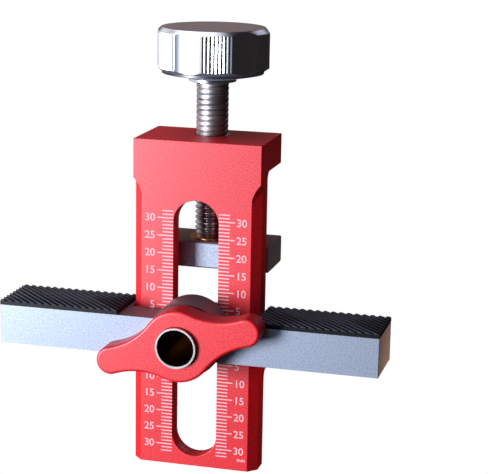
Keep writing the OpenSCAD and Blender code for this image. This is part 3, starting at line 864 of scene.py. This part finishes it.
# Painted shade: the bore, inside about 5.1 mm radius, is coloured nearly black.
sleeve_in = vn.new("ShaderNodeMapRange")
sleeve_in.inputs["From Min"].default_value = 0.00512
sleeve_in.inputs["From Max"].default_value = 0.00504
sleeve_bore_shade_mix = vn.new("ShaderNodeMix")
sleeve_bore_shade_mix.data_type = "RGBA"
sleeve_bore_shade_mix.inputs["A"].default_value = (0.74, 0.72, 0.71, 1)
sleeve_bore_shade_mix.inputs["B"].default_value = (0.05, 0.026, 0.015, 1)
vl.new(sleeve_at.outputs["Object"], sleeve_off.inputs[0])
vl.new(sleeve_off.outputs["Vector"], sleeve_far.inputs[0])
vl.new(sleeve_far.outputs["Value"], sleeve_in.inputs["Value"])
vl.new(sleeve_in.outputs["Result"], sleeve_bore_shade_mix.inputs["Factor"])
vl.new(sleeve_bore_shade_mix.outputs["Result"], sleeve_bsdf.inputs["Base Color"])
sleeve = nodes["drill_sleeve"]
sleeve.data.materials.clear()
sleeve.data.materials.append(sleeve_steel)

# Wing nut: red anodised like the body, its outline milled and its edges rounded by
# about 1 mm all round in front and less behind. Its hole is only broken.
# Its copy of the red finish keeps the painted shade on its faces that look up.
nut_red = red.copy()
nut_red.name = "Red anodised wing nut"
nut_low, nut_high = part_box("wing_nut")
nut_mid = (nut_low[2] + nut_high[2]) / 2
hub_r = 0.010
tip_r = 0.0039
flank_r = 0.020
hole_r = 0.0057
reach = 0.0199
turn = math.radians(16.5)
flank_x = ((hub_r + flank_r) ** 2 - (tip_r + flank_r) ** 2 + reach ** 2) / (2 * reach)
flank_z = math.sqrt((hub_r + flank_r) ** 2 - flank_x ** 2)
hub_end = math.atan2(flank_z, flank_x)
tip_end = math.atan2(flank_z, flank_x - reach)
edge_line = []
for part, steps, at_x, at_z, radius, start, end in (
        ("tip", 48, reach, 0.0, tip_r, -tip_end, tip_end),
        ("hollow", 24, flank_x, flank_z, -flank_r, tip_end, hub_end),
        ("hub", 32, 0.0, 0.0, hub_r, hub_end, math.pi - hub_end),
        ("hollow", 24, -flank_x, flank_z, -flank_r, math.pi - hub_end, math.pi - tip_end)):
    for step in range(steps):
        angle = start + (end - start) * step / steps
        nx, nz = math.cos(angle), math.sin(angle)
        edge_line.append((at_x + radius * nx, at_z + radius * nz, nx, nz))
edge_line += [(-x, -z, -nx, -nz) for x, z, nx, nz in edge_line]
nut_rows = []
front_r = 0.0008
rear_r = 0.0004
profile = [(0.00002 + rear_r, nut_high[1])]
profile += [(rear_r - rear_r * math.sin(k * math.pi / 12), nut_high[1] - rear_r + rear_r * math.cos(k * math.pi / 12))
            for k in range(7)]
profile += [(front_r - front_r * math.cos(k * math.pi / 20), nut_low[1] + front_r - front_r * math.sin(k * math.pi / 20))
            for k in range(11)]
profile += [(front_r + 0.00002, nut_low[1])]
for inset, y in profile:
    nut_rows.append([(x - nx * inset, y, z - nz * inset) for x, z, nx, nz in edge_line])
for radius, y in ((hole_r + 0.00022, nut_low[1]), (hole_r + 0.0002, nut_low[1]), (hole_r, nut_low[1] + 0.0002),
                  (hole_r, nut_low[1] + 0.00022), (hole_r, nut_high[1] - 0.0002), (hole_r + 0.0002, nut_high[1])):
    ring = []
    for x, z, nx, nz in edge_line:
        far = math.hypot(x, z)
        ring.append((x / far * radius, y, z / far * radius))
    nut_rows.append(ring)
nut_verts = []
for ring in nut_rows:
    for x, y, z in ring:
        nut_verts.append((x * math.cos(turn) - z * math.sin(turn), y, nut_mid + x * math.sin(turn) + z * math.cos(turn)))
count = len(edge_line)
nut_faces = []
for row in range(len(nut_rows)):
    below = (row + 1) % len(nut_rows)
    for step in range(count):
        ahead = (step + 1) % count
        nut_faces.append((row * count + step, row * count + ahead, below * count + ahead, below * count + step))
nut_mesh = bpy.data.meshes.new("wing_nut_rounded")
nut_mesh.from_pydata(nut_verts, [], nut_faces)
nut_mesh.update()
nut_mesh.polygons.foreach_set("use_smooth", [True] * len(nut_mesh.polygons))
nut_mesh.materials.append(nut_red)
wing = bpy.data.objects.new("wing_nut_rounded", nut_mesh)
scene.collection.objects.link(wing)
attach(wing, "wing")
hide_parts("wing_nut")
